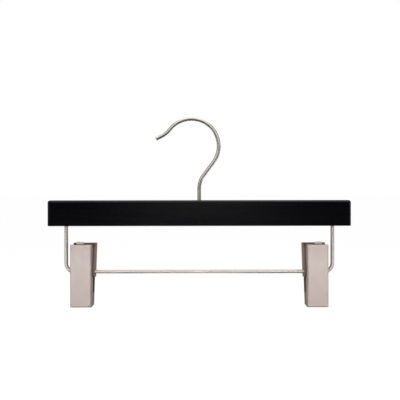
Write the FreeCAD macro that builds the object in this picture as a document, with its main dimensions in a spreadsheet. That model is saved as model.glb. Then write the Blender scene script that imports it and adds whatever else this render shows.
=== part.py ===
import FreeCAD, Part
import Sketcher
import math
import os
import re

# Driving dimensions of the hanger, in millimetres and degrees.
SIZES = {
    # Flat wooden bar.
    "bar_length": 306.0,
    "bar_height": 26.0,
    "bar_depth": 12.0,
    "bar_end_round": 2.4,
    "bar_top_round": 2.2,
    "bar_foot_round": 0.7,
    # Hook of round wire: shank, neck, leaning run, bow, outward curl, tip and flared head.
    "hook_wire": 3.8,
    "neck_radius": 23.0,
    "hook_lean": 37.0,
    "hook_radius": 27.7,
    "hook_offset": 7.8,
    "hook_rise": 55.0,
    "hook_sweep": 142.0,
    "curl_radius": 24.0,
    "tip_slope": 25.0,
    "tip_length": 3.8,
    "tip_flare": 2.4,
    "tip_head": 5.0,
    "tip_round": 0.7,
    # Swivel: the shank runs through the bar and is held by a nut in a socket.
    "shank_play": 0.3,
    "shank_tail": 1.2,
    "socket_dia": 11.0,
    "socket_depth": 9.0,
    "washer_dia": 9.4,
    "washer_thick": 0.9,
    "washer_play": 0.15,
    "nut_flats": 7.0,
    "nut_height": 3.2,
    # U-shaped clip bar, its legs pressed into blind holes.
    "clip_wire": 3.6,
    "leg_inset": 17.5,
    "leg_bend": 8.5,
    "leg_seat": 18.0,
    "leg_end_gap": 0.5,
    "wire_drop": 46.7,
    # Clips: two channels of sheet, nested at the ears that turn on the wire.
    "clip_inset": 17.3,
    "jaw_width": 21.1,
    "jaw_sheet": 1.0,
    "jaw_taper": 7.8,
    "jaw_drop": 34.0,
    "jaw_gap": 0.6,
    "jaw_flange": 6.5,
    "lever_height": 28.3,
    "lever_flange": 9.0,
    "lever_slope": 6.0,
    "front_stand": 9.8,
    "rear_stand": 6.84,
    "rear_flange": 11.0,
    "cheek_height": 12.5,
    "lip_depth": 2.2,
    "bend_round": 1.2,
    "ear_radius": 5.4,
    "ear_bore": 5.4,
    "ear_gap": 0.2,
    # Rubber pads with ribs across the grip.
    "pad_height": 12.0,
    "pad_gap": 0.3,
    "pad_play": 0.3,
    "rib_pitch": 2.4,
    "rib_groove": 0.8,
    # Strip spring bent round the wire, the corners of its ends rounded. It sits off the
    # middle of its clip, towards the bar's end.
    "spring_sheet": 0.8,
    "spring_width": 7.0,
    "spring_shift": 1.6,
    "spring_bend": 2.7,
    "spring_front_rise": 2.7,
    "spring_rear_drop": 3.3,
    "spring_gap": 0.3,
    "spring_corner": 1.0,
    # How far a cut runs past what it cuts.
    "cut_overrun": 2.0,
}
RIB_GROOVE_COUNT = 4
NUT_SIDE_COUNT = 6
NEAR = 1e-4
VOLUME_SLACK_SHARE = 0.01

doc = FreeCAD.newDocument("SkirtHanger")
sheet = doc.addObject("Spreadsheet::Sheet", "Sizes")
for row, (word, number) in enumerate(SIZES.items(), start=1):
    sheet.set(f"A{row}", word)
    sheet.set(f"B{row}", str(number))
    sheet.setAlias(f"B{row}", word)
doc.recompute()


def bound(text):
    """Point each size word of an expression at its cell."""
    return re.sub(r"[a-z]+(?:_[a-z]+)+", r"Sizes.\g<0>", text)


def value(text):
    """Number that an expression in size words comes to."""
    return float(sheet.evalExpression(bound(text)))


def pin(sketch, piece, end, spot):
    """Fix one point of a drawn piece at a place given by two expressions."""
    for kind, axis, text in zip(("DistanceX", "DistanceY"), (-2, -1), spot):
        if text == "0":
            sketch.addConstraint(Sketcher.Constraint("PointOnObject", piece, end, axis))
        else:
            index = sketch.addConstraint(Sketcher.Constraint(kind, -1, 1, piece, end, value(text)))
            sketch.setExpression(f"Constraints[{index}]", bound(text))


def size_round(sketch, piece, radius):
    """Bind the radius of a drawn arc or circle."""
    index = sketch.addConstraint(Sketcher.Constraint("Radius", piece, value(radius)))
    sketch.setExpression(f"Constraints[{index}]", bound(radius))


def sketch_on(body, name, role, level="0"):
    """Empty sketch on one of the body's own planes, moved along its normal."""
    sketch = body.newObject("Sketcher::SketchObject", name)
    plane = next(item for item in body.Origin.OriginFeatures if item.Role == role)
    sketch.AttachmentSupport = [(plane, "")]
    sketch.MapMode = "FlatFace"
    if level != "0":
        sketch.setExpression("AttachmentOffset.Base.z", bound(level))
    return sketch


def arc_between(start, end, radius, turn):
    """Arc of under a half circle that turns left (1) or right (-1) on its way."""
    chord = end - start
    left = FreeCAD.Vector(-chord.y, chord.x, 0).normalize()
    inset = math.sqrt(radius ** 2 - (chord.Length / 2) ** 2)
    centre = (start + end) / 2 + left * inset * turn
    angles = [math.atan2(spot.y - centre.y, spot.x - centre.x) for spot in (start, end)][::turn]
    return Part.ArcOfCircle(Part.Circle(centre, FreeCAD.Vector(0, 0, 1), radius), *angles)


def trace(sketch, start, steps):
    """Draw from spot to spot: a step is (spot,) for a line or (spot, radius, turn) for an arc.

    A trace that comes back to its start is closed.
    """
    here = FreeCAD.Vector(value(start[0]), value(start[1]), 0)
    join = None
    opening = None
    for spot, *bend in steps:
        there = FreeCAD.Vector(value(spot[0]), value(spot[1]), 0)
        first, last = 1, 2
        if bend:
            radius, turn = bend
            piece = sketch.addGeometry(arc_between(here, there, value(radius), turn), False)
            size_round(sketch, piece, radius)
            first, last = (1, 2)[::turn]
        else:
            piece = sketch.addGeometry(Part.LineSegment(here, there), False)
        if join:
            sketch.addConstraint(Sketcher.Constraint("Coincident", *join, piece, first))
        else:
            opening = (piece, first)
            pin(sketch, piece, first, start)
        join = (piece, last)
        if spot is start:
            sketch.addConstraint(Sketcher.Constraint("Coincident", *join, *opening))
        else:
            pin(sketch, piece, last, spot)
        here = there


def outline(sketch, corners):
    """Closed polygon through the corners."""
    trace(sketch, corners[0], [(spot,) for spot in corners[1:] + corners[:1]])


def ring(sketch, radius, spot=("0", "0")):
    """Circle about a spot."""
    centre = FreeCAD.Vector(value(spot[0]), value(spot[1]), 0)
    piece = sketch.addGeometry(Part.Circle(centre, FreeCAD.Vector(0, 0, 1), value(radius)), False)
    pin(sketch, piece, 3, spot)
    size_round(sketch, piece, radius)


def extrude(body, kind, name, sketch, length):
    """Pad or Pocket to both sides of a sketch, with the whole length given."""
    before = body.Shape.Volume if body.Tip else 0
    feature = body.newObject("PartDesign::" + kind, name)
    feature.Profile = sketch
    feature.SideType = "Symmetric"
    feature.setExpression("Length", bound(length))
    doc.recompute()
    changed(body, name, before)
    return feature


def drill(body, name, sketch, depth, upward):
    """Pocket to one side of a level sketch."""
    before = body.Shape.Volume
    feature = body.newObject("PartDesign::Pocket", name)
    feature.Profile = sketch
    feature.Reversed = upward
    feature.setExpression("Length", bound(depth))
    doc.recompute()
    changed(body, name, before)


def changed(body, name, before):
    """Stop if a feature left the body as it was."""
    if abs(body.Shape.Volume - before) < NEAR:
        raise RuntimeError(f"{body.Label}: {name} changes nothing")


def lies_at(axis, level):
    """Test for edges that lie wholly at one level along an axis."""
    wanted = value(level)
    return lambda edge: all(abs(getattr(vertex.Point, axis) - wanted) < NEAR for vertex in edge.Vertexes)


def rim_of(radius):
    """Test for round edges of one radius."""
    wanted = value(radius)
    return lambda edge: abs(getattr(edge.Curve, "Radius", 0) - wanted) < NEAR


def soften(body, name, radius, wanted):
    """Round the wanted edges of the body's last feature."""
    last = body.Tip
    names = [f"Edge{index}" for index, edge in enumerate(last.Shape.Edges, start=1) if wanted(edge)]
    feature = body.newObject("PartDesign::Fillet", name)
    feature.Base = (last, names)
    feature.setExpression("Radius", bound(radius))
    doc.recompute()


def sweep(body, name, path, radius, level, spot):
    """Round wire along a path that starts upright at a level."""
    section = sketch_on(body, name + "_section", "XY_Plane", level)
    ring(section, radius, spot)
    pipe = body.newObject("PartDesign::AdditivePipe", name)
    pipe.Profile = section
    pipe.Spine = path
    doc.recompute()
    expected = math.pi * value(radius) ** 2 * path.Shape.Length
    if abs(pipe.Shape.Volume / expected - 1) > VOLUME_SLACK_SHARE:
        raise RuntimeError(f"{body.Label}: wire volume {pipe.Shape.Volume} instead of {expected}")


def new_body(label, across="0", level="0"):
    """Body of one piece, placed across the hanger and at a level below the rail seat."""
    body = doc.addObject("PartDesign::Body", label)
    body.Label = label
    place(body, across, level)
    return body


def place(piece, across, level):
    """Bind a piece's place along X and Z."""
    for axis, text in (("x", across), ("z", level)):
        if text != "0":
            piece.setExpression(f"Placement.Base.{axis}", bound(text))


# Levels, and places to either side of the shank. The frame's origin is the hook's inner
# face straight above the shank, where the rail carries the hanger.
BAR_TOP = "-(hook_rise + sqrt((hook_radius - hook_wire / 2)^2 - hook_offset^2))"
WIRE_LEVEL = f"{BAR_TOP} - bar_height - wire_drop"
SOCKET_FLOOR = "-(bar_height - socket_depth)"
LEG_SIDE = "(bar_length / 2 - leg_inset)"
CLIP_SIDE = f"({LEG_SIDE} - clip_inset)"


def wooden_bar():
    """Flat bar, softer along its top, bored for the shank, the nut and the wire's legs."""
    body = new_body("wooden_bar", level=BAR_TOP)
    face = sketch_on(body, "bar_face", "XZ_Plane")
    outline(face, [
        ("-bar_length / 2", "0"),
        ("bar_length / 2", "0"),
        ("bar_length / 2", "-bar_height"),
        ("-bar_length / 2", "-bar_height"),
    ])
    extrude(body, "Pad", "bar_blank", face, "bar_depth")
    soften(body, "bar_ends", "bar_end_round", lambda edge: edge.Vertexes[0].Z != edge.Vertexes[-1].Z)
    soften(body, "bar_top", "bar_top_round", lies_at("z", "0"))
    soften(body, "bar_foot", "bar_foot_round", lies_at("z", "-bar_height"))
    shank = sketch_on(body, "shank_mark", "XY_Plane")
    ring(shank, "hook_wire / 2 + shank_play")
    drill(body, "shank_hole", shank, "bar_height", upward=False)
    socket = sketch_on(body, "socket_mark", "XY_Plane", "-bar_height")
    ring(socket, "socket_dia / 2")
    drill(body, "socket", socket, "socket_depth", upward=True)
    legs = sketch_on(body, "leg_marks", "XY_Plane", "-bar_height")
    ring(legs, "clip_wire / 2", (f"-{LEG_SIDE}", "0"))
    ring(legs, "clip_wire / 2", (LEG_SIDE, "0"))
    drill(body, "leg_holes", legs, "leg_seat + leg_end_gap", upward=True)
    return body


def swivel_hook():
    """Wire hook: upright shank, neck, leaning run, bow, outward curl, tip and flared head."""
    body = new_body("swivel_hook", level=BAR_TOP)
    foot = f"{SOCKET_FLOOR} - washer_thick - nut_height - shank_tail"
    bow_x = "-hook_offset + hook_radius * cos(hook_lean)"
    bow_z = "hook_rise - hook_radius * sin(hook_lean)"
    neck_x = "neck_radius * (1 - cos(hook_lean))"
    run = f"({bow_x} - {neck_x}) / tan(hook_lean)"
    neck_z = f"{bow_z} - {run}"
    curl_x = "-hook_offset + (hook_radius + curl_radius) * cos(hook_sweep)"
    curl_z = "hook_rise + (hook_radius + curl_radius) * sin(hook_sweep)"
    tip_x = f"{curl_x} + curl_radius * sin(tip_slope)"
    tip_z = f"{curl_z} - curl_radius * cos(tip_slope)"
    head_x = f"{tip_x} - tip_length * cos(tip_slope)"
    head_z = f"{tip_z} - tip_length * sin(tip_slope)"
    path = sketch_on(body, "hook_path", "XZ_Plane")
    trace(path, ("0", foot), [
        (("0", f"{neck_z} - neck_radius * sin(hook_lean)"),),
        ((neck_x, neck_z), "neck_radius", -1),
        ((bow_x, bow_z),),
        (("-hook_offset", "hook_rise + hook_radius"), "hook_radius", 1),
        (
            ("-hook_offset + hook_radius * cos(hook_sweep)", "hook_rise + hook_radius * sin(hook_sweep)"),
            "hook_radius",
            1,
        ),
        ((tip_x, tip_z), "curl_radius", -1),
        ((head_x, head_z),),
    ])
    sweep(body, "hook_wire_run", path, "hook_wire / 2", foot, ("0", "0"))
    head = body.newObject("PartDesign::AdditiveCone", "hook_head")
    head.setExpression("Radius1", bound("hook_wire / 2"))
    head.setExpression("Radius2", bound("tip_head / 2"))
    head.setExpression("Height", bound("tip_flare"))
    place(head, head_x, head_z)
    head.Placement.Rotation = FreeCAD.Rotation(FreeCAD.Vector(0, -1, 0), value("90 + tip_slope"))
    head.setExpression("Placement.Rotation.Angle", bound("90 + tip_slope"))
    doc.recompute()
    soften(body, "hook_head_rim", "tip_round", rim_of("tip_head / 2"))
    return body


def bored_piece(label, outer, height, bore, level):
    """Set a primitive's height, stand it on a level and cut a centred bore right through it."""
    outer.setExpression("Height", bound(height))
    drill_rod = doc.addObject("Part::Cylinder", label + "_bore")
    drill_rod.setExpression("Radius", bound(bore))
    drill_rod.setExpression("Height", bound(f"{height} + 2 * cut_overrun"))
    drill_rod.setExpression("Placement.Base.z", bound("-cut_overrun"))
    piece = doc.addObject("Part::Cut", label)
    piece.Label = label
    piece.Base = outer
    piece.Tool = drill_rod
    place(piece, "0", level)
    doc.recompute()
    return piece


def hook_washer():
    """Plain washer against the socket's floor."""
    disc = doc.addObject("Part::Cylinder", "washer_disc")
    disc.setExpression("Radius", bound("washer_dia / 2"))
    level = f"{BAR_TOP} + {SOCKET_FLOOR} - washer_thick"
    return bored_piece("hook_washer", disc, "washer_thick", "hook_wire / 2 + washer_play", level)


def hook_nut():
    """Hexagon nut, screwed tight on the shank below the washer."""
    block = doc.addObject("Part::Prism", "nut_block")
    block.Polygon = NUT_SIDE_COUNT
    block.setExpression("Circumradius", bound(f"nut_flats / 2 / cos({180 / NUT_SIDE_COUNT})"))
    level = f"{BAR_TOP} + {SOCKET_FLOOR} - washer_thick - nut_height"
    return bored_piece("hook_nut", block, "nut_height", "hook_wire / 2", level)


def clip_bar():
    """U-shaped wire: two legs up into the bar and one level run below it."""
    body = new_body("clip_bar", level=WIRE_LEVEL)
    top = "wire_drop + leg_seat"
    path = sketch_on(body, "wire_path", "XZ_Plane")
    trace(path, (f"-{LEG_SIDE}", top), [
        ((f"-{LEG_SIDE}", "leg_bend"),),
        ((f"-{LEG_SIDE} + leg_bend", "0"), "leg_bend", 1),
        ((f"{LEG_SIDE} - leg_bend", "0"),),
        ((LEG_SIDE, "leg_bend"), "leg_bend", 1),
        ((LEG_SIDE, top),),
    ])
    sweep(body, "wire_run", path, "clip_wire / 2", top, (f"-{LEG_SIDE}", "0"))
    return body


# Clip pieces are drawn from the side, Y to the back and Z up, about the wire's axis.
FRONT_INSIDE = "(jaw_sheet - front_stand)"
REAR_INSIDE = "(rear_stand - jaw_sheet)"
PARTING = "(jaw_flange - front_stand)"
REAR_WIDTH = "(jaw_width + 2 * jaw_sheet + 2 * ear_gap)"


def upright(back, up):
    """Spot of the leaning rear jaw, at its own height, on an upright plane of the hanger."""
    return (f"(({back}) - ({up}) * sin(jaw_taper)) / cos(jaw_taper)", up)


def leaning(back, up):
    """Spot of the hanger, at a height, on a plane of the leaning rear jaw."""
    return (f"(({back}) + ({up}) * sin(jaw_taper)) / cos(jaw_taper)", up)


def front_jaw(side, across):
    """Front channel: flat face, turned-in lips, side flanges and the inner pair of ears."""
    body = new_body(side + "_front_jaw", across, WIRE_LEVEL)
    shape = sketch_on(body, side + "_front_shape", "YZ_Plane")
    outline(shape, [
        ("-front_stand", "-jaw_drop"),
        ("-front_stand", "lever_height"),
        (f"{FRONT_INSIDE} + lip_depth", "lever_height"),
        ("lever_flange - front_stand", "lever_height - lever_slope"),
        ("lever_flange - front_stand", "0"),
        (PARTING, "-ear_radius"),
        (PARTING, "-jaw_drop"),
    ])
    extrude(body, "Pad", side + "_front_blank", shape, "jaw_width")
    ear = sketch_on(body, side + "_front_ear", "YZ_Plane")
    ring(ear, "ear_radius")
    extrude(body, "Pad", side + "_front_ears", ear, "jaw_width")
    hollow = sketch_on(body, side + "_front_inside", "YZ_Plane")
    outline(hollow, [
        (FRONT_INSIDE, "jaw_sheet - jaw_drop"),
        (FRONT_INSIDE, "lever_height - jaw_sheet"),
        (f"{FRONT_INSIDE} + lip_depth", "lever_height - jaw_sheet"),
        (f"{FRONT_INSIDE} + lip_depth", "lever_height + cut_overrun"),
        ("ear_radius + cut_overrun", "lever_height + cut_overrun"),
        ("ear_radius + cut_overrun", "-jaw_drop - cut_overrun"),
        (f"{FRONT_INSIDE} + lip_depth", "-jaw_drop - cut_overrun"),
        (f"{FRONT_INSIDE} + lip_depth", "jaw_sheet - jaw_drop"),
    ])
    extrude(body, "Pocket", side + "_front_hollow", hollow, "jaw_width - 2 * jaw_sheet")
    bore_ears(body, side + "_front")
    soften(body, side + "_front_bends", "bend_round", lies_at("y", "-front_stand"))
    return body


def bore_ears(body, name):
    """Bore a channel's ears for the wire."""
    bore = sketch_on(body, name + "_bore_mark", "YZ_Plane")
    ring(bore, "ear_bore / 2")
    extrude(body, "Pocket", name + "_bore", bore, f"{REAR_WIDTH} + cut_overrun")


def rear_jaw(side, across):
    """Rear channel: wide lever with the outer pair of ears, and a narrow jaw with cheeks below.

    The lever has no lip, and its top comes level with the front lever's.
    """
    body = new_body(side + "_rear_jaw", across, WIRE_LEVEL)
    body.Placement.Rotation = FreeCAD.Rotation(FreeCAD.Vector(-1, 0, 0), value("jaw_taper"))
    body.setExpression("Placement.Rotation.Angle", bound("jaw_taper"))
    top = f"((lever_height + {REAR_INSIDE} * sin(jaw_taper)) / cos(jaw_taper))"
    shape = sketch_on(body, side + "_rear_shape", "YZ_Plane")
    outline(shape, [
        ("rear_stand", "-ear_radius"),
        ("rear_stand", top),
        (f"{REAR_INSIDE} - lip_depth", top),
        ("rear_stand - rear_flange", "lever_height - lever_slope"),
        ("rear_stand - rear_flange", "ear_radius"),
        ("-ear_radius", "0"),
        ("0", "-ear_radius"),
    ])
    extrude(body, "Pad", side + "_rear_blank", shape, REAR_WIDTH)
    ear = sketch_on(body, side + "_rear_ear", "YZ_Plane")
    ring(ear, "ear_radius")
    extrude(body, "Pad", side + "_rear_ears", ear, REAR_WIDTH)
    hollow = sketch_on(body, side + "_rear_inside", "YZ_Plane")
    outline(hollow, [
        (REAR_INSIDE, "-ear_radius - cut_overrun"),
        (REAR_INSIDE, f"{top} + cut_overrun"),
        ("rear_stand - rear_flange - cut_overrun", f"{top} + cut_overrun"),
        ("rear_stand - rear_flange - cut_overrun", "-ear_radius - cut_overrun"),
    ])
    extrude(body, "Pocket", side + "_rear_hollow", hollow, f"{REAR_WIDTH} - 2 * jaw_sheet")
    low = "-jaw_drop * cos(jaw_taper)"
    grip = f"{PARTING} + jaw_gap"
    cheek = sketch_on(body, side + "_cheek_shape", "YZ_Plane")
    outline(cheek, [
        ("rear_stand", low),
        ("rear_stand", "0"),
        (REAR_INSIDE, "0"),
        (REAR_INSIDE, f"{low} + cheek_height"),
        upright(grip, f"{low} + cheek_height"),
        upright(grip, low),
    ])
    extrude(body, "Pad", side + "_cheek_blank", cheek, "jaw_width")
    inside = sketch_on(body, side + "_cheek_inside", "YZ_Plane")
    outline(inside, [
        (REAR_INSIDE, f"{low} + jaw_sheet"),
        (REAR_INSIDE, "-ear_radius"),
        ("-ear_radius", "-ear_radius"),
        ("-ear_radius", f"{low} - cut_overrun"),
        (f"{REAR_INSIDE} - lip_depth", f"{low} - cut_overrun"),
        (f"{REAR_INSIDE} - lip_depth", f"{low} + jaw_sheet"),
    ])
    extrude(body, "Pocket", side + "_cheek_hollow", inside, "jaw_width - 2 * jaw_sheet")
    bore_ears(body, side + "_rear")
    soften(body, side + "_rear_bends", "bend_round / 2", lies_at("y", "rear_stand"))
    return body


PAD_FOOT = "(jaw_sheet + pad_play - jaw_drop)"
PAD_TOP = f"{PAD_FOOT} + pad_height"


def grip_pad(label, across, face, back_low, back_top, grooves):
    """Rubber block from a jaw's inside to an upright grip face, with grooves across that face.

    The grooves lie between two depths and repeat upwards at a steady pitch.
    """
    body = new_body(label, across, WIRE_LEVEL)
    shape = sketch_on(body, label + "_shape", "YZ_Plane")
    outline(shape, [back_low, back_top, (face, PAD_TOP), (face, PAD_FOOT)])
    extrude(body, "Pad", label + "_block", shape, "jaw_width - 2 * jaw_sheet - 2 * pad_play")
    groove = sketch_on(body, label + "_groove_mark", "YZ_Plane")
    low = f"{PAD_FOOT} + rib_pitch / 2"
    outline(groove, [
        (grooves[0], low),
        (grooves[1], low),
        (grooves[1], f"{low} + rib_groove"),
        (grooves[0], f"{low} + rib_groove"),
    ])
    cut = extrude(body, "Pocket", label + "_groove", groove, "jaw_width")
    pattern = body.newObject("PartDesign::LinearPattern", label + "_grooves")
    pattern.Originals = [cut]
    pattern.Direction = (groove, ["V_Axis"])
    pattern.setExpression("Length", bound(f"rib_pitch * {RIB_GROOVE_COUNT - 1}"))
    pattern.Occurrences = RIB_GROOVE_COUNT
    body.Tip = pattern
    doc.recompute()
    return body


def front_pad(side, across):
    """Pad bedded in the front jaw, standing a little proud of its flanges."""
    face = f"{PARTING} + (jaw_gap - pad_gap) / 2"
    grooves = (f"{face} - rib_groove", f"{face} + cut_overrun")
    back = ((FRONT_INSIDE, PAD_FOOT), (FRONT_INSIDE, PAD_TOP))
    return grip_pad(side + "_front_pad", across, face, *back, grooves)


def rear_pad(side, across):
    """Wedge bedded on the leaning rear jaw, its grip face parallel to the front pad's."""
    face = f"{PARTING} + (jaw_gap + pad_gap) / 2"
    grooves = (f"{face} + rib_groove", f"{face} - cut_overrun")
    back = (leaning(REAR_INSIDE, PAD_FOOT), leaning(REAR_INSIDE, PAD_TOP))
    return grip_pad(side + "_rear_pad", across, face, *back, grooves)


def touch(spot, radius, turn):
    """Spot where a line from a given spot touches a circle about the wire's axis."""
    back, up = spot
    far = f"(({back})^2 + ({up})^2)"
    span = f"({radius}) * sqrt({far} - ({radius})^2)"
    return (
        f"(({radius})^2 * ({back}) - {turn} * {span} * ({up})) / {far}",
        f"(({radius})^2 * ({up}) + {turn} * {span} * ({back})) / {far}",
    )


def clip_spring(side, across):
    """Strip bent under the wire, its legs spread to the levers; the front leg shows above its lip."""
    body = new_body(side + "_spring", across, WIRE_LEVEL)
    outer = "(spring_bend + spring_sheet)"
    ends = (
        (f"{FRONT_INSIDE} + lip_depth + spring_gap", "lever_height + spring_front_rise"),
        leaning(f"{REAR_INSIDE} - spring_gap", "lever_height - spring_rear_drop"),
    )
    legs = []
    for end, turn in zip(ends, (1, -1)):
        foot = touch(end, outer, turn)
        inner_foot = [f"({text}) * spring_bend / {outer}" for text in foot]
        inner_end = [f"{tip} - ({text}) * spring_sheet / {outer}" for tip, text in zip(end, foot)]
        legs.append((end, foot, tuple(inner_foot), tuple(inner_end)))
    (front_end, front_foot, front_in, front_top), (rear_end, rear_foot, rear_in, rear_top) = legs
    under = ("0", f"-{outer}")
    under_in = ("0", "-spring_bend")
    shape = sketch_on(body, side + "_spring_shape", "YZ_Plane")
    trace(shape, front_end, [
        (front_foot,),
        (under, outer, 1),
        (rear_foot, outer, 1),
        (rear_end,),
        (rear_top,),
        (rear_in,),
        (under_in, "spring_bend", -1),
        (front_in, "spring_bend", -1),
        (front_top,),
        (front_end,),
    ])
    extrude(body, "Pad", side + "_spring_strip", shape, "spring_width")
    end_edge = value("spring_sheet")
    soften(body, side + "_corners", "spring_corner", lambda edge: abs(edge.Length - end_edge) < NEAR)
    return body


pieces = [wooden_bar(), swivel_hook(), hook_washer(), hook_nut(), clip_bar()]
for side, way in (("left", "-"), ("right", "")):
    for make in (front_jaw, rear_jaw, front_pad, rear_pad):
        pieces.append(make(side, f"{way}{CLIP_SIDE}"))
    pieces.append(clip_spring(side, f"{way}({CLIP_SIDE} + spring_shift)"))

doc.recompute()
for item in doc.Objects:
    if {"Invalid", "Error"} & set(item.State):
        raise RuntimeError(f"{item.Label} failed: {item.State}")
for piece in pieces:
    shape = piece.Shape
    if shape.isNull() or not shape.isValid() or len(shape.Solids) != 1:
        raise RuntimeError(f"{piece.Label} is not one sound solid")

os.makedirs("parts", exist_ok=True)
for piece in pieces:
    piece.Shape.exportStep(f"parts/{piece.Label}.step")
    print(f"{piece.Label}: {piece.Shape.Volume:.1f} mm3")
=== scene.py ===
import math

import bpy
import numpy as np
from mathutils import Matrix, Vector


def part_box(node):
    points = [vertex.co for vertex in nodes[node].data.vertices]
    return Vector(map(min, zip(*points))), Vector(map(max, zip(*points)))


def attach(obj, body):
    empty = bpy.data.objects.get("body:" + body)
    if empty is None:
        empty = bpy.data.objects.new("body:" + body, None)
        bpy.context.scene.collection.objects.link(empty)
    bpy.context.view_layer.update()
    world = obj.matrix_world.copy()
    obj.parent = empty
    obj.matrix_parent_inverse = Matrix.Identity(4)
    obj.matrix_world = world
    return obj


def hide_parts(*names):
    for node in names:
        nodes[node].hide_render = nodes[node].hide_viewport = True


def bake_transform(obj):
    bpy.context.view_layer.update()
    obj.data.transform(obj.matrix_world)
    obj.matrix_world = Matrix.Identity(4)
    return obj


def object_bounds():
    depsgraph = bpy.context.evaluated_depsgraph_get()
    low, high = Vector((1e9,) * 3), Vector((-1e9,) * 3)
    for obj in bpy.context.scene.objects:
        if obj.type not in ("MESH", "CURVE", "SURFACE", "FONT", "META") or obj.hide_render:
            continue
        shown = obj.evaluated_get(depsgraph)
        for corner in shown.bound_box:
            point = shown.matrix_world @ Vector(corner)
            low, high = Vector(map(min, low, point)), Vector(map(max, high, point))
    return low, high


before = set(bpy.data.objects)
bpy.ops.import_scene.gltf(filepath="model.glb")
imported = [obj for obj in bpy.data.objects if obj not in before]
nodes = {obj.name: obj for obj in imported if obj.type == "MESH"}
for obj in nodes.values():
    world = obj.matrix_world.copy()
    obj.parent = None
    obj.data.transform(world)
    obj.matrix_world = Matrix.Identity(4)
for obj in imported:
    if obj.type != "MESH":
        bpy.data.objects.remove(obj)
cad_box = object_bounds()


# Wooden bar. A planed strip of close-grained wood, its top edges rounded over on a spindle,
# stained black and sprayed with satin lacquer. The shank and the wire's legs are let into it.


class Lay:
    """One socket in a finish's node tree. Arithmetic on it lays Math nodes."""

    def __init__(self, tree, socket=None):
        self.tree = tree
        self.socket = socket

    def node(self, kind, settings=None, sockets=None, out=0):
        """Add a node, with its settings first and then values or links for its sockets."""
        made = self.tree.nodes.new(kind)
        for name, setting in (settings or {}).items():
            setattr(made, name, setting)
        for name, value in (sockets or {}).items():
            if isinstance(value, Lay):
                self.tree.links.new(value.socket, made.inputs[name])
            else:
                made.inputs[name].default_value = value
        return Lay(self.tree, made.outputs[out] if made.outputs else None)

    def maths(self, operation, *values):
        """One Math node on these values or links."""
        return self.node("ShaderNodeMath", {"operation": operation}, dict(enumerate(values)))

    def __add__(self, other):
        return self.maths("ADD", self, other)

    __radd__ = __add__

    def __sub__(self, other):
        return self.maths("SUBTRACT", self, other)

    def __rsub__(self, other):
        return self.maths("SUBTRACT", other, self)

    def __mul__(self, other):
        return self.maths("MULTIPLY", self, other)

    __rmul__ = __mul__

    def __abs__(self):
        return self.maths("ABSOLUTE", self)

    def step(self, low, high):
        """Smooth step from 0 at low to 1 at high."""
        settings = {"interpolation_type": "SMOOTHSTEP"}
        sockets = {"Value": self, "From Min": low, "From Max": high}
        return self.node("ShaderNodeMapRange", settings, sockets)

    def tint(self, low, high):
        """Colour between two colours, each a colour or a link, with this value as the share."""
        sockets = {0: self, 6: low, 7: high}
        return self.node("ShaderNodeMix", {"data_type": "RGBA"}, sockets, out=2)

    def noise(self, per_metre, detail=3.0, roughness=0.5):
        """Noise at a place, with so many features to the metre along each axis."""
        scaled = self.node("ShaderNodeMapping", None, {"Vector": self, "Scale": per_metre})
        sockets = {"Vector": scaled, "Scale": 1.0, "Detail": detail, "Roughness": roughness}
        return self.node("ShaderNodeTexNoise", None, sockets)

    def parts(self):
        """The three numbers of a vector."""
        split = self.node("ShaderNodeSeparateXYZ", None, {"Vector": self})
        return [Lay(self.tree, socket) for socket in split.socket.node.outputs]

    def bump(self, metres, under=None):
        """Normal raised by this height, which runs from 0 to 1 for so many metres."""
        sockets = {"Height": self, "Distance": metres, "Strength": 1.0}
        if under:
            sockets["Normal"] = under
        return self.node("ShaderNodeBump", None, sockets)


def new_finish(name):
    """Empty material, and the start of its node tree."""
    material = bpy.data.materials.new(name)
    material.use_nodes = True
    material.node_tree.nodes.clear()
    return material, Lay(material.node_tree)


def close_finish(lay, sockets):
    """End a node tree in a surface shader with these sockets set or linked."""
    surface = lay.node("ShaderNodeBsdfPrincipled", None, sockets)
    lay.node("ShaderNodeOutputMaterial", None, {"Surface": surface})


def dress(node, material):
    """Give a CAD node its finish."""
    nodes[node].data.materials.clear()
    nodes[node].data.materials.append(material)


def black_lacquer():
    """Stained wood under satin lacquer: long grain along X, sunken pores, a faint spray peel."""
    material, lay = new_finish("black_lacquer")
    place = lay.node("ShaderNodeTexCoord", out="Object")
    grain = place.noise((14, 420, 420), 5.0, 0.6)
    cloud = place.noise((9, 30, 30), 2.0)
    pores = place.noise((150, 2400, 2400), 2.0).step(0.60, 0.72)
    peel = place.noise((420, 420, 420), 1.0)
    stain = grain.step(0.3, 0.7).tint((0.0016, 0.0016, 0.0026, 1), (0.0036, 0.0035, 0.0052, 1))
    sunk = (grain * 0.5 - pores).bump(0.000008)
    close_finish(lay, {
        "Base Color": pores.tint(stain, (0.0012, 0.0012, 0.0012, 1)),
        "Roughness": 0.11 + 0.06 * cloud + 0.03 * grain,
        "Normal": peel.bump(0.00001, sunk),
        "Specular IOR Level": 0.35,
    })
    return material


dress("wooden_bar", black_lacquer())


# Swivel hook. One length of hard-drawn steel wire, bent cold round formers, its tip upset into
# a small flared head and its foot threaded for the nut, then plated with satin nickel.


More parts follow.
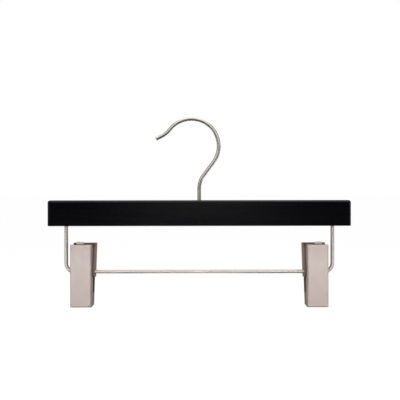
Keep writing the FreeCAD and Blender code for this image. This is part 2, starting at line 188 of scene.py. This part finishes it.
def wire_line(start, heading, runs):
    """Centre line of a bent wire in the XZ plane, as places, headings and lengths along it.

    Each run is (length, turn, steps): the heading grows evenly by the turn over the length, so
    a run without turn is straight and any other is an arc of radius length / turn. A spot lies
    at the chord from the run's start: length * sinc of half its turn, along the mean heading.
    """
    places = [np.array([start], float)]
    headings = [np.array([heading])]
    lengths = [np.zeros(1)]
    for length, turn, steps in runs:
        share = np.linspace(0, 1, steps + 1)[1:]
        middle = headings[-1][-1] + share * turn / 2
        chord = length * share * np.sinc(share * turn / (2 * np.pi))
        way = np.stack([np.cos(middle), np.sin(middle)], 1)
        places.append(places[-1][-1] + chord[:, None] * way)
        headings.append(headings[-1][-1] + share * turn)
        lengths.append(lengths[-1][-1] + share * length)
    return np.concatenate(places), np.concatenate(headings), np.concatenate(lengths)


def grid_faces(rows, columns):
    """Quads of a grid of rings, each ring closed on itself."""
    row, column = np.meshgrid(np.arange(rows - 1), np.arange(columns), indexing="ij")
    beside = (column + 1) % columns
    corners = [row * columns + column, row * columns + beside]
    corners += [(row + 1) * columns + beside, (row + 1) * columns + column]
    return np.stack([corner.ravel() for corner in corners], 1)


SHARP_CORNER = math.radians(38)


def place_piece(name, mesh, material, body):
    """Put a finished mesh in the scene, smooth but for its sharp corners."""
    mesh.materials.append(material)
    mesh.shade_smooth()
    mesh.set_sharp_from_angle(angle=SHARP_CORNER)
    piece = bpy.data.objects.new(name, mesh)
    bpy.context.scene.collection.objects.link(piece)
    if body:
        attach(piece, body)
    return piece


def shell(name, points, along, around, material, body):
    """Closed piece from rings of points, each end drawn together in one point.

    UV holds metres: along the piece, and around it.
    """
    rows, columns = points.shape[:2]
    verts = np.concatenate([points.reshape(-1, 3), points[[0, -1]].mean(1)])
    ring = np.arange(columns)
    beside = np.roll(ring, -1)
    last = (rows - 1) * columns
    foot = np.stack([np.full(columns, rows * columns), beside, ring], 1)
    top = np.stack([np.full(columns, rows * columns + 1), last + ring, last + beside], 1)
    mesh = bpy.data.meshes.new(name)
    faces = [*grid_faces(rows, columns).tolist(), *foot.tolist(), *top.tolist()]
    mesh.from_pydata(verts.tolist(), [], faces)
    row, column = np.meshgrid(np.arange(rows - 1), np.arange(columns), indexing="ij")
    us = np.stack([along[row], along[row], along[row + 1], along[row + 1]], 2)
    vs = np.stack([around[column], around[column + 1], around[column + 1], around[column]], 2)
    cap_vs = np.stack([around[:-1], around[1:], around[:-1]], 1)
    uv = [np.stack([us, vs], 3).reshape(-1, 2)]
    for end in along[[0, -1]]:
        uv.append(np.stack([np.full_like(cap_vs, end), cap_vs], 2).reshape(-1, 2))
    layer = mesh.uv_layers.new(name="UVMap")
    layer.data.foreach_set("uv", np.concatenate(uv).astype(np.float32).ravel())
    return place_piece(name, mesh, material, body)


def tube(name, line, radii, material, body):
    """Round wire along a line: centre + radius (cos a N - sin a Y), N across the line in XZ.

    Radii hold a number for each point of each ring, ring by ring.
    """
    places, headings, lengths = line
    columns = radii.shape[1]
    angle = np.linspace(0, 2 * np.pi, columns + 1)
    turn = angle[:-1, None] + np.pi / 2
    across = np.stack([-np.sin(headings), np.zeros(len(headings)), np.cos(headings)], 1)
    centre = np.stack([places[:, 0], np.zeros(len(places)), places[:, 1]], 1)
    spread = across[:, None, :] * np.cos(turn) - np.array([0, 1, 0]) * np.sin(turn)
    points = centre[:, None, :] + radii[:, :, None] * spread
    return shell(name, points, lengths, angle * radii.max(), material, body)


def drawn_nickel(name, low, high, roughness):
    """Satin nickel over drawn wire: fine die lines along it, faint mottle, a few dull specks."""
    material, lay = new_finish(name)
    place = lay.node("ShaderNodeTexCoord", out="UV")
    lines = place.noise((30, 5200, 1), 3.0, 0.6)
    mottle = place.noise((160, 420, 1), 2.0)
    specks = place.noise((1500, 1700, 1), 1.0).step(0.66, 0.74)
    plate = (lines * 0.7 + mottle * 0.3).step(0.3, 0.7).tint((*low, 1), (*high, 1))
    close_finish(lay, {
        "Base Color": (specks * 0.18).tint(plate, (0.25, 0.23, 0.21, 1)),
        "Metallic": 1.0,
        "Roughness": roughness + 0.12 * lines + 0.10 * mottle + 0.06 * specks,
        "Normal": lines.bump(0.000005),
        "Specular Tint": (0.80, 0.76, 0.72, 1),
    })
    return material


HOOK_WIRE = 0.0019
WIRE_COLUMNS = 48
NECK_RADIUS = 0.023
HOOK_LEAN = math.radians(37)
BOW_RADIUS = 0.0277
BOW_OFFSET = 0.0078
BOW_RISE = 0.0550
BOW_SWEEP = math.radians(142)
CURL_RADIUS = 0.024
TIP_SLOPE = math.radians(25)
TIP_LENGTH = 0.0038
HEAD_FLARE = 0.0024
HEAD_RADIUS = 0.0025
HEAD_ROUND = 0.0007
THREAD_PITCH = 0.0007
THREAD_DEPTH = 0.0003
THREAD_TURNS = 9
STEPS_A_TURN = 10

hook_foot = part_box("swivel_hook")[0].z
bar_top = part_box("wooden_bar")[1].z
neck_x = NECK_RADIUS * (1 - math.cos(HOOK_LEAN))
bow_x = -BOW_OFFSET + BOW_RADIUS * math.cos(HOOK_LEAN)
lean_run = (bow_x - neck_x) / math.sin(HOOK_LEAN)
bow_z = bar_top + BOW_RISE - BOW_RADIUS * math.sin(HOOK_LEAN)
neck_z = bow_z - lean_run * math.cos(HOOK_LEAN) - NECK_RADIUS * math.sin(HOOK_LEAN)
bow_turn = BOW_SWEEP + HOOK_LEAN
curl_turn = BOW_SWEEP - math.pi / 2 - TIP_SLOPE
thread = THREAD_PITCH * THREAD_TURNS
places, headings, lengths = wire_line((0, hook_foot), math.pi / 2, [
    (thread, 0, THREAD_TURNS * STEPS_A_TURN),
    (neck_z - hook_foot - thread, 0, 8),
    (NECK_RADIUS * HOOK_LEAN, -HOOK_LEAN, 24),
    (lean_run, 0, 6),
    (BOW_RADIUS * bow_turn, bow_turn, 120),
    (CURL_RADIUS * curl_turn, -curl_turn, 24),
    (TIP_LENGTH, 0, 4),
])
# The head: a cone from the wire outwards, its rim an arc that meets cone and end face alike.
flare = math.atan2(HEAD_RADIUS - HOOK_WIRE, HEAD_FLARE)
rim_along = HEAD_FLARE - HEAD_ROUND
rim_radius = HOOK_WIRE + rim_along * math.tan(flare) - HEAD_ROUND / math.cos(flare)
rim = np.linspace(np.pi / 2 + flare, 0, 12)
head_along = rim_along + HEAD_ROUND * np.cos(rim)
head_radii = rim_radius + HEAD_ROUND * np.sin(rim)
tip_way = np.array([math.cos(headings[-1]), math.sin(headings[-1])])
hook_line = (
    np.concatenate([places, places[-1] + head_along[:, None] * tip_way]),
    np.concatenate([headings, np.full(len(head_along), headings[-1])]),
    np.concatenate([lengths, lengths[-1] + head_along]),
)
hook_radii = np.concatenate([np.full(len(places), HOOK_WIRE), head_radii])
hook_radii = np.repeat(hook_radii[:, None], WIRE_COLUMNS, 1)
# The thread: a groove that falls and rises evenly once a pitch and winds once round a pitch.
cut = slice(0, THREAD_TURNS * STEPS_A_TURN)
wind = lengths[cut, None] / THREAD_PITCH - np.arange(WIRE_COLUMNS) / WIRE_COLUMNS
hook_radii[cut] -= THREAD_DEPTH * (1 - np.abs(2 * (wind % 1) - 1))
hook_nickel = drawn_nickel("hook_nickel", (0.64, 0.605, 0.55), (0.72, 0.688, 0.63), 0.14)
hook = tube("hook_wire", hook_line, hook_radii, hook_nickel, "hook")
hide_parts("swivel_hook")


# Washer and nut. A punched washer and a cold-formed hexagon nut with bevelled corners, both
# zinc plated, drawn up on the shank's thread inside the bar's socket so that the hook can turn.


def turned(name, radii, levels, material, body):
    """Ring about the Z axis: (r cos a, r sin a, z), the profile a closed loop of (r, z).

    Radii hold a number for each profile point at each angle, so a flat may cut the round.
    """
    rows, columns = radii.shape
    angle = np.arange(columns) * 2 * np.pi / columns
    level = np.repeat(levels[:, None], columns, 1)
    points = np.stack([radii * np.cos(angle), radii * np.sin(angle), level], 2)
    closed = np.concatenate([grid_faces(rows, columns), grid_faces(2, columns)])
    wrap = closed[-columns:]
    wrap[:] = np.where(wrap >= columns, wrap - columns, wrap + (rows - 1) * columns)
    mesh = bpy.data.meshes.new(name)
    mesh.from_pydata(points.reshape(-1, 3).tolist(), [], closed[:, ::-1].tolist())
    return place_piece(name, mesh, material, body)


def zinc_plate():
    """Bright zinc: bluish grains a fifth of a millimetre across, dull in patches."""
    material, lay = new_finish("zinc_plate")
    place = lay.node("ShaderNodeTexCoord", out="Object")
    grains = place.noise((5200, 5200, 5200), 2.0)
    patches = place.noise((700, 700, 700), 2.0)
    close_finish(lay, {
        "Base Color": grains.step(0.3, 0.7).tint((0.42, 0.44, 0.47, 1), (0.62, 0.63, 0.64, 1)),
        "Metallic": 1.0,
        "Roughness": 0.24 + 0.24 * patches,
        "Normal": grains.bump(0.00001),
    })
    return material


RING_COLUMNS = 96
EDGE_ROUND = 0.0002
WASHER_BORE = HOOK_WIRE + 0.00015
zinc = zinc_plate()
low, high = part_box("hook_washer")
washer_profile = np.array([
    (WASHER_BORE, low.z),
    (WASHER_BORE, high.z),
    (high.x - EDGE_ROUND / 4, high.z),
    (high.x, high.z - EDGE_ROUND / 4),
    (high.x, low.z + EDGE_ROUND),
    (high.x - EDGE_ROUND / 3, low.z + EDGE_ROUND / 3),
    (high.x - EDGE_ROUND, low.z),
])
washer_radii = np.repeat(washer_profile[:, :1], RING_COLUMNS, 1)
washer = turned("washer", washer_radii, washer_profile[:, 1], zinc, "hook")
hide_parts("hook_washer")

NUT_FLAT = 0.0035
NUT_FACE = NUT_FLAT * 0.96
NUT_BEVEL = math.tan(math.radians(60))
BEVEL_DEPTH = 0.0005
low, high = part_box("hook_nut")
nut_angle = np.arange(RING_COLUMNS) * 2 * np.pi / RING_COLUMNS
hexagon = NUT_FLAT / np.cos(nut_angle % (np.pi / 3) - np.pi / 6)
depths = np.linspace(0, BEVEL_DEPTH, 6)
bevel = np.minimum(hexagon, NUT_FACE + depths[:, None] * NUT_BEVEL)
bore = np.full((2, RING_COLUMNS), HOOK_WIRE)
nut_radii = np.concatenate([bore, bevel, bevel[::-1]])
nut_levels = np.concatenate([[low.z, high.z], high.z - depths, low.z + depths[::-1]])
nut = turned("nut", nut_radii, nut_levels, zinc, "hook")
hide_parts("hook_nut")


# Clip bar. One drawn steel wire bent cold into a shallow U, both legs driven up into blind holes
# in the bar's underside, plated like the hook but to a duller satin.
CLIP_WIRE = 0.0018
LEG_SIDE = 0.1355
LEG_BEND = 0.0085
bar_wire_low, bar_wire_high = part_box("clip_bar")
wire_z = bar_wire_low.z + CLIP_WIRE
leg = bar_wire_high.z - wire_z - LEG_BEND
corner = (LEG_BEND * math.pi / 2, math.pi / 2, 30)
bar_line = wire_line((-LEG_SIDE, bar_wire_high.z), -math.pi / 2, [
    (leg, 0, 12),
    corner,
    (2 * (LEG_SIDE - LEG_BEND), 0, 40),
    corner,
    (leg, 0, 12),
])
bar_radii = np.full((len(bar_line[0]), WIRE_COLUMNS), CLIP_WIRE)
bar_nickel = drawn_nickel("bar_nickel", (0.70, 0.64, 0.595), (0.78, 0.725, 0.685), 0.40)
bar_wire = tube("bar_wire", bar_line, bar_radii, bar_nickel, "bar")
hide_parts("clip_bar")


# Clip jaws. Blanks of one millimetre steel, pierced and folded into channels whose ears nest on
# the wire. The outer faces are bead blasted and nickel plated; the folded sides and insides carry
# painted shade, darkest on the rear jaw.
FRONT_FACE = -0.0098
REAR_FACE = 0.00684
REAR_LEAN = math.radians(7.8)
# How deep the face colour reaches round the bend before the painted shade of the sides begins.
FRONT_SHADE_DEPTH = 0.0016
REAR_SHADE_DEPTH = 0.0003
FOOT_START = -0.130
FOOT_END = -0.187


def blasted_nickel_painted_shade(name, from_face, reach, low, high):
    """Bead-blasted plate: fine pits, a faint cloud, and painted shade where the sheet turns from the
    face.

    The face grows darker and warmer towards the jaw's foot, as painted shade.

    The second argument works out how deep a place lies behind the jaw's outer face, and the
    third is how deep the face colour reaches round the bend. The last two are the painted shade of the
    folded sides and insides.
    """
    material, lay = new_finish(name)
    place = lay.node("ShaderNodeTexCoord", out="Object")
    pits = place.noise((2600, 2600, 2600), 2.0, 0.6)
    grit = place.noise((900, 900, 900), 2.0, 0.5)
    cloud = place.noise((90, 90, 60), 3.0)
    face = from_face(place).step(reach, reach / 4)
    plate = (cloud * 0.6 + grit * 0.4).step(0.3, 0.7)
    bright = plate.tint((0.69, 0.60, 0.57, 1), (0.77, 0.68, 0.65, 1))
    # Painted shade: the face darkens and warms towards the foot.
    foot = place.parts()[2].step(FOOT_START, FOOT_END)
    bright = (foot * 0.5).tint(bright, (0.60, 0.50, 0.455, 1))
    # Painted shade: the folded sides and insides are coloured darker than the face.
    dark = plate.tint((*low, 1), (*high, 1))
    close_finish(lay, {
        "Base Color": face.tint(dark, bright),
        "Metallic": 1.0,
        "Roughness": 0.50 + 0.14 * pits + 0.06 * cloud,
        "Normal": (pits * 0.6 + grit * 0.4).bump(0.00003),
    })
    return material


def behind_front(place):
    """The front jaw stands upright."""
    return place.parts()[1] - FRONT_FACE


def before_rear(place):
    """The rear jaw leans back about the wire."""
    _, back, up = place.parts()
    return REAR_FACE - (back * math.cos(REAR_LEAN) - (up - wire_z) * math.sin(REAR_LEAN))


# Painted shade for the folded sides and insides, darker still on the rear jaw.
front_sides_painted_shade = (0.345, 0.262, 0.221), (0.418, 0.326, 0.276)
rear_sides_painted_shade = (0.24, 0.178, 0.148), (0.30, 0.228, 0.188)
front_nickel_painted_shade = blasted_nickel_painted_shade("front_nickel_painted_shade", behind_front, FRONT_SHADE_DEPTH, *front_sides_painted_shade)
rear_nickel_painted_shade = blasted_nickel_painted_shade("rear_nickel_painted_shade", before_rear, REAR_SHADE_DEPTH, *rear_sides_painted_shade)
for side in ("left", "right"):
    dress(side + "_front_jaw", front_nickel_painted_shade)
    dress(side + "_rear_jaw", rear_nickel_painted_shade)


# Grip pads. Black rubber blocks moulded with ribs across the grip and glued into the jaws, dull
# and a little dusty.


def pad_rubber():
    """Moulded rubber: fine pebbling, with pale dust in patches."""
    material, lay = new_finish("pad_rubber")
    place = lay.node("ShaderNodeTexCoord", out="Object")
    pebbles = place.noise((3800, 3800, 3800), 2.0)
    dust = place.noise((260, 260, 260), 4.0, 0.65).step(0.48, 0.75)
    close_finish(lay, {
        "Base Color": (dust * 0.5).tint((0.022, 0.022, 0.023, 1), (0.075, 0.072, 0.068, 1)),
        "Roughness": 0.68 + 0.18 * dust,
        "Normal": pebbles.bump(0.00003),
        "Specular IOR Level": 0.35,
    })
    return material


rubber = pad_rubber()
for side in ("left", "right"):
    dress(side + "_front_pad", rubber)
    dress(side + "_rear_pad", rubber)


# Strip springs. Tempered strip bent into a U under the wire, one leg behind each lever, with the
# corners of its ends sheared round. The front leg's end stands a little above its lever.


def strip_nickel():
    """Bright plated strip: rolling lines along it and a soft mottle."""
    material, lay = new_finish("strip_nickel")
    place = lay.node("ShaderNodeTexCoord", out="UV")
    lines = place.noise((60, 2600, 1), 3.0, 0.6)
    mottle = place.noise((300, 300, 1), 2.0)
    close_finish(lay, {
        "Base Color": lines.step(0.3, 0.7).tint((0.59, 0.52, 0.47, 1), (0.67, 0.60, 0.55, 1)),
        "Metallic": 1.0,
        "Roughness": 0.42 + 0.12 * lines + 0.10 * mottle,
        "Normal": lines.bump(0.00001),
    })
    return material


STRIP_THICK = 0.0008
STRIP_WIDTH = 0.007
STRIP_CORNER = 0.001
STRIP_EDGE = 0.0002
STRIP_BEND = 0.0031
STRIP_FRONT_TOP = (-0.0063, 0.031)
STRIP_REAR_TOP = (0.009016, 0.025)
TIP_SHARE = 0.2


def touch(top, radius, turn):
    """Direction from the wire's axis to where a line from the top touches a circle about it."""
    back, up = top
    far = back ** 2 + up ** 2
    span = math.sqrt(far - radius ** 2)
    return np.array([radius * back - turn * span * up, radius * up + turn * span * back]) / far


def strip_line():
    """Middle line of the strip and its outward normals: leg, arc under the wire, leg.

    A leg's spots stand closer together towards its tip, where the corners are round.
    """
    outer = STRIP_BEND + STRIP_THICK / 2
    front = touch(STRIP_FRONT_TOP, outer, 1)
    rear = touch(STRIP_REAR_TOP, outer, -1)
    start, end = (math.atan2(way[1], way[0]) % (2 * math.pi) for way in (front, rear))
    angle = np.linspace(start, end + 2 * math.pi * (end < start), 33)
    round_way = np.stack([np.cos(angle), np.sin(angle)], 1)
    near_tip = np.linspace(0, 1, 13) ** 2 * TIP_SHARE
    further = np.linspace(TIP_SHARE, 1, 14)[1:]
    share = np.concatenate([near_tip, further])[:, None]
    legs = []
    for top, way in ((STRIP_FRONT_TOP, front), (STRIP_REAR_TOP, rear)):
        tip = np.array(top) - way * STRIP_THICK / 2
        legs.append(tip + (way * STRIP_BEND - tip) * share)
    line = np.concatenate([legs[0][:-1], round_way * STRIP_BEND, legs[1][-2::-1]])
    ways = np.concatenate([
        np.repeat(front[None], len(legs[0]) - 1, 0),
        round_way,
        np.repeat(rear[None], len(legs[1]) - 1, 0),
    ])
    return line, ways


def strip_spring(side, material):
    """Strip along its line: place + x half width X + n half thickness N, corners rounded.

    The half width falls to a quarter circle at each end: W - R + sqrt(R^2 - (R - s)^2).
    """
    line, ways = strip_line()
    steps = np.linalg.norm(np.diff(line, axis=0), axis=1)
    along = np.concatenate([[0], np.cumsum(steps)])
    to_end = np.minimum(np.minimum(along, along[-1] - along), STRIP_CORNER)
    inset = STRIP_CORNER - np.sqrt(STRIP_CORNER ** 2 - (STRIP_CORNER - to_end) ** 2)
    half = STRIP_WIDTH / 2 - inset
    quarter = np.linspace(0, np.pi / 2, 5)
    turn = (quarter + np.arange(4)[:, None] * np.pi / 2).ravel()
    corner_x = np.repeat([1, -1, -1, 1], 5)
    corner_n = np.repeat([1, 1, -1, -1], 5)
    off_x = corner_x * -STRIP_EDGE + STRIP_EDGE * np.cos(turn)
    off_n = corner_n * (STRIP_THICK / 2 - STRIP_EDGE) + STRIP_EDGE * np.sin(turn)
    low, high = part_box(side + "_spring")
    middle = (low.x + high.x) / 2
    across = middle + corner_x * half[:, None] + off_x
    lift = line[:, None, :] + ways[:, None, :] * off_n[:, None]
    points = np.stack([across, lift[:, :, 0], lift[:, :, 1] + wire_z], 2)
    girth = np.cumsum(np.hypot(np.diff(across[len(along) // 2]), np.diff(off_n)))
    around = np.concatenate([[0], girth, girth[-1:] + STRIP_THICK])
    return shell(side + "_strip", points, along, around, material, None)


strip_plate = strip_nickel()
for side in ("left", "right"):
    strip = strip_spring(side, strip_plate)
    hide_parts(side + "_spring")
    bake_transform(strip)


# Studio. A pale floor well below the hanger in a white surround, a tall soft light close to either
# side and a broad one above. Only for the metal to mirror, dark cards and cloths stand round it, with
# a strip light in front under a black shelf, parted by a divider, and a small glowing card below the
# run; the front card glows paler at its middle.
FLOOR_DROP = 0.22
FLOOR_GLOW = 0.62
SURROUND_LEVEL = 0.45
GLARE_EDGE = 0.26
GLARE_CORE = 0.12
GLARE_DIM = 0.26
GLARE_STRENGTH = 5.0


def sheet_of(name, wide, high, place, turn, material):
    """Flat sheet of the stage."""
    x, y = wide / 2, high / 2
    mesh = bpy.data.meshes.new(name)
    mesh.from_pydata([(-x, -y, 0), (x, -y, 0), (x, y, 0), (-x, y, 0)], [], [(0, 1, 2, 3)])
    mesh.materials.append(material)
    sheet = bpy.data.objects.new(name, mesh)
    sheet.location = place
    sheet.rotation_euler = turn
    bpy.context.scene.collection.objects.link(sheet)
    return sheet


def seen(lay):
    """1 for what the camera sees straight, in metal or through glass."""
    path = lay.node("ShaderNodeLightPath").socket.node.outputs
    names = ("Is Camera Ray", "Is Glossy Ray", "Is Transmission Ray")
    straight, mirrored, through = (Lay(lay.tree, path[name]) for name in names)
    return straight.maths("MAXIMUM", straight.maths("MAXIMUM", straight, mirrored), through)


def floor_paint():
    """Pale paint that takes the shadow, with a glow where it is seen straight, mirrored or through."""
    finish, lay = new_finish("floor_paint")
    paint = lay.node("ShaderNodeBsdfDiffuse", None, {"Color": (0.82, 0.82, 0.82, 1)})
    sockets = {"Color": (1, 1, 1, 1), "Strength": seen(lay) * FLOOR_GLOW}
    glow = lay.node("ShaderNodeEmission", None, sockets)
    both = lay.node("ShaderNodeAddShader", None, {0: paint, 1: glow})
    lay.node("ShaderNodeOutputMaterial", None, {"Surface": both})
    return finish


def black_cloth():
    """Dull black cloth."""
    finish, lay = new_finish("cloth_black")
    cloth = lay.node("ShaderNodeBsdfDiffuse", None, {"Color": (0.03, 0.03, 0.03, 1)})
    lay.node("ShaderNodeOutputMaterial", None, {"Surface": cloth})
    return finish


def glowing(lay, shade, strength):
    """End a node tree in a glow of this colour."""
    glow = lay.node("ShaderNodeEmission", None, {"Color": shade, "Strength": strength})
    lay.node("ShaderNodeOutputMaterial", None, {"Surface": glow})


def glow_sheet(name, spot, far, near, dark, pale):
    """Sheet that glows: faintly dark, and paler round a spot, all of it pale within near and none of
    it beyond far.
    """
    finish, lay = new_finish(name)
    place = lay.node("ShaderNodeTexCoord", out="Object")
    ends = {0: place, 1: spot}
    from_spot = place.node("ShaderNodeVectorMath", {"operation": "DISTANCE"}, ends, out="Value")
    shade = from_spot.step(far, near).tint((dark, dark, dark, 1), (pale, pale, pale, 1))
    glowing(lay, shade, 1.0)
    return finish


def strip_glare():
    """White glare of the strip light, brightest along its middle."""
    finish, lay = new_finish("strip_white")
    along = lay.node("ShaderNodeTexCoord", out="Object").parts()[0]
    near_middle = abs(along).step(GLARE_EDGE, GLARE_CORE)
    glare = near_middle.tint((GLARE_DIM, GLARE_DIM, GLARE_DIM, 1), (1, 1, 1, 1))
    glowing(lay, glare, GLARE_STRENGTH)
    return finish


def surround():
    """White world, dimmer as a light than as it is seen."""
    world = bpy.data.worlds.new("surround")
    world.use_nodes = True
    world.node_tree.nodes.clear()
    lay = Lay(world.node_tree)
    level = SURROUND_LEVEL + (1 - SURROUND_LEVEL) * seen(lay)
    sky = lay.node("ShaderNodeBackground", None, {"Color": (1, 1, 1, 1), "Strength": level})
    lay.node("ShaderNodeOutputWorld", None, {"Surface": sky})
    return world


FLAT = (0, 0, 0)
FACING = (math.pi / 2, 0, 0)
SIDEWAYS = (math.pi / 2, 0, math.pi / 2)
CARD_RISE = -0.025
SPOT_RISE = 0.05
sheet_of("floor", 60, 60, (0, 0, cad_box[0].z - FLOOR_DROP), FLAT, floor_paint())
card_spot = (0, SPOT_RISE - CARD_RISE, 0)
# Glowing sheets that stand in for light in the reflections, paler round a spot.
card_dark_glow = glow_sheet("card_dark_glow", card_spot, far=0.34, near=0.03, dark=0.01, pale=0.42)
low_glow = glow_sheet("low_glow", (0, 0, 0), far=0.09, near=0.03, dark=0.03, pale=1.6)
cloth_black = black_cloth()
cards = [
    sheet_of("front_card", 1.5, 0.25, (0, -0.60, CARD_RISE), FACING, card_dark_glow),
    sheet_of("strip_light", 1.1, 0.24, (0, -0.60, -0.28), FACING, strip_glare()),
    sheet_of("shelf", 1.5, 0.40, (0, -0.40, -0.15), FLAT, cloth_black),
    sheet_of("divider", 0.57, 0.293, (0, -0.315, -0.2535), SIDEWAYS, cloth_black),
    sheet_of("left_card", 1.6, 1.7, (-0.82, 0.20, 0.30), SIDEWAYS, cloth_black),
    sheet_of("right_card", 1.6, 1.7, (0.82, 0.20, 0.30), SIDEWAYS, cloth_black),
    sheet_of("floor_cloth", 1.2, 0.77, (0, -0.235, -0.40), FLAT, cloth_black),
    sheet_of("low_card", 0.18, 0.05, (0, 0.025, -0.205), FLAT, low_glow),
    sheet_of("rear_cloth", 0.36, 0.45, (0, 0.375, -0.40), FLAT, cloth_black),
]
for card in cards:
    card.visible_camera = False
    card.visible_diffuse = False
    card.visible_shadow = False
    card.visible_transmission = False
bpy.context.scene.world = surround()


def soft_light(name, place, aim, wide, high, watts):
    """Soft light turned towards a spot."""
    lamp = bpy.data.lights.new(name, "AREA")
    lamp.shape = "RECTANGLE"
    lamp.size = wide
    lamp.size_y = high
    lamp.energy = watts
    holder = bpy.data.objects.new(name, lamp)
    holder.location = place
    way = holder.location.copy()
    way[:] = [end - start for start, end in zip(place, aim)]
    holder.rotation_euler = way.to_track_quat("-Z", "Y").to_euler()
    bpy.context.scene.collection.objects.link(holder)


LAMP_AIM = (0, 0, -0.1)
LAMP_WATTS = 0.9
soft_light("left_light", (-0.58, -0.30, 0.02), LAMP_AIM, 0.45, 0.90, LAMP_WATTS)
soft_light("right_light", (0.58, -0.30, 0.02), LAMP_AIM, 0.45, 0.90, LAMP_WATTS)
soft_light("top_light", (0, -0.16, 0.66), LAMP_AIM, 0.60, 0.49, LAMP_WATTS)

FRAME_PIXELS = 400
FOCUS_PIXELS = 402.7
SHIFT_PIXELS = (0.30, -9.14)
VIEW_ROLL = math.radians(0.083)
view = bpy.data.cameras.new("view")
view.sensor_width = 36
view.lens = view.sensor_width * FOCUS_PIXELS / FRAME_PIXELS
view.shift_x = SHIFT_PIXELS[0] / FRAME_PIXELS
view.shift_y = SHIFT_PIXELS[1] / FRAME_PIXELS
view.clip_start = 0.01
viewer = bpy.data.objects.new("viewer", view)
viewer.location = (0.0005, -0.4103, -0.0702)
viewer.rotation_euler = (math.pi / 2, VIEW_ROLL, 0)
bpy.context.scene.collection.objects.link(viewer)
bpy.context.scene.camera = viewer
bpy.context.scene.view_settings.view_transform = "Standard"
